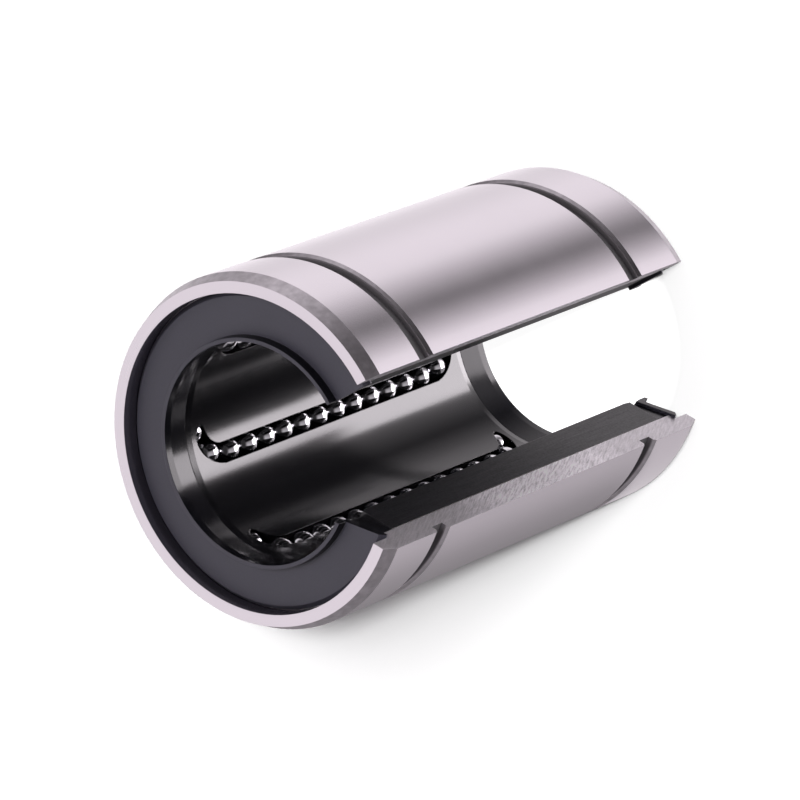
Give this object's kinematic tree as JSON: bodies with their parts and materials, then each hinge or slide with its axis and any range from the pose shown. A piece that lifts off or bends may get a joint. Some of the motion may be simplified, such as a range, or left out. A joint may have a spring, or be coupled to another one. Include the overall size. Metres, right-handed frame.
{
  "type": "open-type linear ball bearing",
  "caption": "Cylindrical steel bearing sleeve with a lengthwise opening, plastic ball cage, end seals and rows of recirculating balls, gliding along a rail-supported round shaft.",
  "frame": {"origin": "on the bore axis, half way along the bearing", "axes": "+Z along the bore axis, +X out through the middle of the lengthwise opening"},
  "size_m": [0.0376, 0.04, 0.059],
  "materials": {
    "ground_steel": "ground bearing steel with a satin sheen, milled grey on the cut faces",
    "retainer_plastic": "black moulded plastic, semi-gloss with fine lengthwise grain",
    "seal_plastic": "dark slate grey moulded seal, matte",
    "ball_steel": "polished bearing balls"
  },
  "bodies": {
    "housing": {"outer_sleeve": "ground_steel", "ball_retainer": "retainer_plastic", "upper_seal": "seal_plastic", "lower_seal": "seal_plastic"},
    "circuit_1_load_row_balls": {"circuit_1_load_row": "ball_steel"},
    "circuit_1_return_row_balls": {"circuit_1_return_row": "ball_steel"},
    "circuit_1_upper_turn_balls": {"circuit_1_upper_turn": "ball_steel"},
    "circuit_1_lower_turn_balls": {"circuit_1_lower_turn": "ball_steel"},
    "circuit_2_load_row_balls": {"circuit_2_load_row": "ball_steel"},
    "circuit_2_return_row_balls": {"circuit_2_return_row": "ball_steel"},
    "circuit_2_upper_turn_balls": {"circuit_2_upper_turn": "ball_steel"},
    "circuit_2_lower_turn_balls": {"circuit_2_lower_turn": "ball_steel"},
    "circuit_3_load_row_balls": {"circuit_3_load_row": "ball_steel"},
    "circuit_3_return_row_balls": {"circuit_3_return_row": "ball_steel"},
    "circuit_3_upper_turn_balls": {"circuit_3_upper_turn": "ball_steel"},
    "circuit_3_lower_turn_balls": {"circuit_3_lower_turn": "ball_steel"},
    "circuit_4_load_row_balls": {"circuit_4_load_row": "ball_steel"},
    "circuit_4_return_row_balls": {"circuit_4_return_row": "ball_steel"},
    "circuit_4_upper_turn_balls": {"circuit_4_upper_turn": "ball_steel"},
    "circuit_4_lower_turn_balls": {"circuit_4_lower_turn": "ball_steel"},
    "circuit_5_load_row_balls": {"circuit_5_load_row": "ball_steel"},
    "circuit_5_return_row_balls": {"circuit_5_return_row": "ball_steel"},
    "circuit_5_upper_turn_balls": {"circuit_5_upper_turn": "ball_steel"},
    "circuit_5_lower_turn_balls": {"circuit_5_lower_turn": "ball_steel"}
  },
  "joints": [
    {"name": "circuit_1_load_travel", "type": "slide", "parent": "housing", "child": "circuit_1_load_row_balls", "axis": [0, 0, 1], "range_m": [-0.0016, 0.0016]},
    {"name": "circuit_1_return_travel", "type": "slide", "parent": "housing", "child": "circuit_1_return_row_balls", "axis": [0, 0, 1], "range_m": [-0.0016, 0.0016]},
    {"name": "circuit_1_upper_turn_travel", "type": "hinge", "parent": "housing", "child": "circuit_1_upper_turn_balls", "pos_m": [0.00724, 0.01228, 0.01924], "axis": [0.3534, 0.934, -0.0525], "range_deg": [-26.5, 26.5]},
    {"name": "circuit_1_lower_turn_travel", "type": "hinge", "parent": "housing", "child": "circuit_1_lower_turn_balls", "pos_m": [0.00724, 0.01228, -0.01924], "axis": [0.3534, 0.934, 0.0525], "range_deg": [-26.5, 26.5]},
    {"name": "circuit_2_load_travel", "type": "slide", "parent": "housing", "child": "circuit_2_load_row_balls", "axis": [0, 0, 1], "range_m": [-0.0016, 0.0016]},
    {"name": "circuit_2_return_travel", "type": "slide", "parent": "housing", "child": "circuit_2_return_row_balls", "axis": [0, 0, 1], "range_m": [-0.0016, 0.0016]},
    {"name": "circuit_2_upper_turn_travel", "type": "hinge", "parent": "housing", "child": "circuit_2_upper_turn_balls", "pos_m": [-0.00701, 0.01241, 0.01924], "axis": [-0.6322, 0.773, -0.0525], "range_deg": [-26.5, 26.5]},
    {"name": "circuit_2_lower_turn_travel", "type": "hinge", "parent": "housing", "child": "circuit_2_lower_turn_balls", "pos_m": [-0.00701, 0.01241, -0.01924], "axis": [-0.6322, 0.773, 0.0525], "range_deg": [-26.5, 26.5]},
    {"name": "circuit_3_load_travel", "type": "slide", "parent": "housing", "child": "circuit_3_load_row_balls", "axis": [0, 0, 1], "range_m": [-0.0016, 0.0016]},
    {"name": "circuit_3_return_travel", "type": "slide", "parent": "housing", "child": "circuit_3_return_row_balls", "axis": [0, 0, 1], "range_m": [-0.0016, 0.0016]},
    {"name": "circuit_3_upper_turn_travel", "type": "hinge", "parent": "housing", "child": "circuit_3_upper_turn_balls", "pos_m": [-0.01426, 0.00013, 0.01924], "axis": [-0.9856, -0.161, -0.0525], "range_deg": [-26.5, 26.5]},
    {"name": "circuit_3_lower_turn_travel", "type": "hinge", "parent": "housing", "child": "circuit_3_lower_turn_balls", "pos_m": [-0.01426, 0.00013, -0.01924], "axis": [-0.9856, -0.161, 0.0525], "range_deg": [-26.5, 26.5]},
    {"name": "circuit_4_load_travel", "type": "slide", "parent": "housing", "child": "circuit_4_load_row_balls", "axis": [0, 0, 1], "range_m": [-0.0016, 0.0016]},
    {"name": "circuit_4_return_travel", "type": "slide", "parent": "housing", "child": "circuit_4_return_row_balls", "axis": [0, 0, 1], "range_m": [-0.0016, 0.0016]},
    {"name": "circuit_4_upper_turn_travel", "type": "hinge", "parent": "housing", "child": "circuit_4_upper_turn_balls", "pos_m": [-0.00724, -0.01228, 0.01924], "axis": [-0.3534, -0.934, -0.0525], "range_deg": [-26.5, 26.5]},
    {"name": "circuit_4_lower_turn_travel", "type": "hinge", "parent": "housing", "child": "circuit_4_lower_turn_balls", "pos_m": [-0.00724, -0.01228, -0.01924], "axis": [-0.3534, -0.934, 0.0525], "range_deg": [-26.5, 26.5]},
    {"name": "circuit_5_load_travel", "type": "slide", "parent": "housing", "child": "circuit_5_load_row_balls", "axis": [0, 0, 1], "range_m": [-0.0016, 0.0016]},
    {"name": "circuit_5_return_travel", "type": "slide", "parent": "housing", "child": "circuit_5_return_row_balls", "axis": [0, 0, 1], "range_m": [-0.0016, 0.0016]},
    {"name": "circuit_5_upper_turn_travel", "type": "hinge", "parent": "housing", "child": "circuit_5_upper_turn_balls", "pos_m": [0.00701, -0.01241, 0.01924], "axis": [0.6322, -0.773, -0.0525], "range_deg": [-26.5, 26.5]},
    {"name": "circuit_5_lower_turn_travel", "type": "hinge", "parent": "housing", "child": "circuit_5_lower_turn_balls", "pos_m": [0.00701, -0.01241, -0.01924], "axis": [0.6322, -0.773, 0.0525], "range_deg": [-26.5, 26.5]}
  ],
  "couplings": [
    {"joint": "circuit_1_return_travel", "follows": "circuit_1_load_travel", "ratio": -1},
    {"joint": "circuit_1_upper_turn_travel", "follows": "circuit_1_load_travel", "rad_per_m": 288.33},
    {"joint": "circuit_1_lower_turn_travel", "follows": "circuit_1_load_travel", "rad_per_m": 288.33},
    {"joint": "circuit_2_return_travel", "follows": "circuit_2_load_travel", "ratio": -1},
    {"joint": "circuit_2_upper_turn_travel", "follows": "circuit_2_load_travel", "rad_per_m": 288.33},
    {"joint": "circuit_2_lower_turn_travel", "follows": "circuit_2_load_travel", "rad_per_m": 288.33},
    {"joint": "circuit_3_return_travel", "follows": "circuit_3_load_travel", "ratio": -1},
    {"joint": "circuit_3_upper_turn_travel", "follows": "circuit_3_load_travel", "rad_per_m": 288.33},
    {"joint": "circuit_3_lower_turn_travel", "follows": "circuit_3_load_travel", "rad_per_m": 288.33},
    {"joint": "circuit_4_return_travel", "follows": "circuit_4_load_travel", "ratio": -1},
    {"joint": "circuit_4_upper_turn_travel", "follows": "circuit_4_load_travel", "rad_per_m": 288.33},
    {"joint": "circuit_4_lower_turn_travel", "follows": "circuit_4_load_travel", "rad_per_m": 288.33},
    {"joint": "circuit_5_return_travel", "follows": "circuit_5_load_travel", "ratio": -1},
    {"joint": "circuit_5_upper_turn_travel", "follows": "circuit_5_load_travel", "rad_per_m": 288.33},
    {"joint": "circuit_5_lower_turn_travel", "follows": "circuit_5_load_travel", "rad_per_m": 288.33}
  ]
}
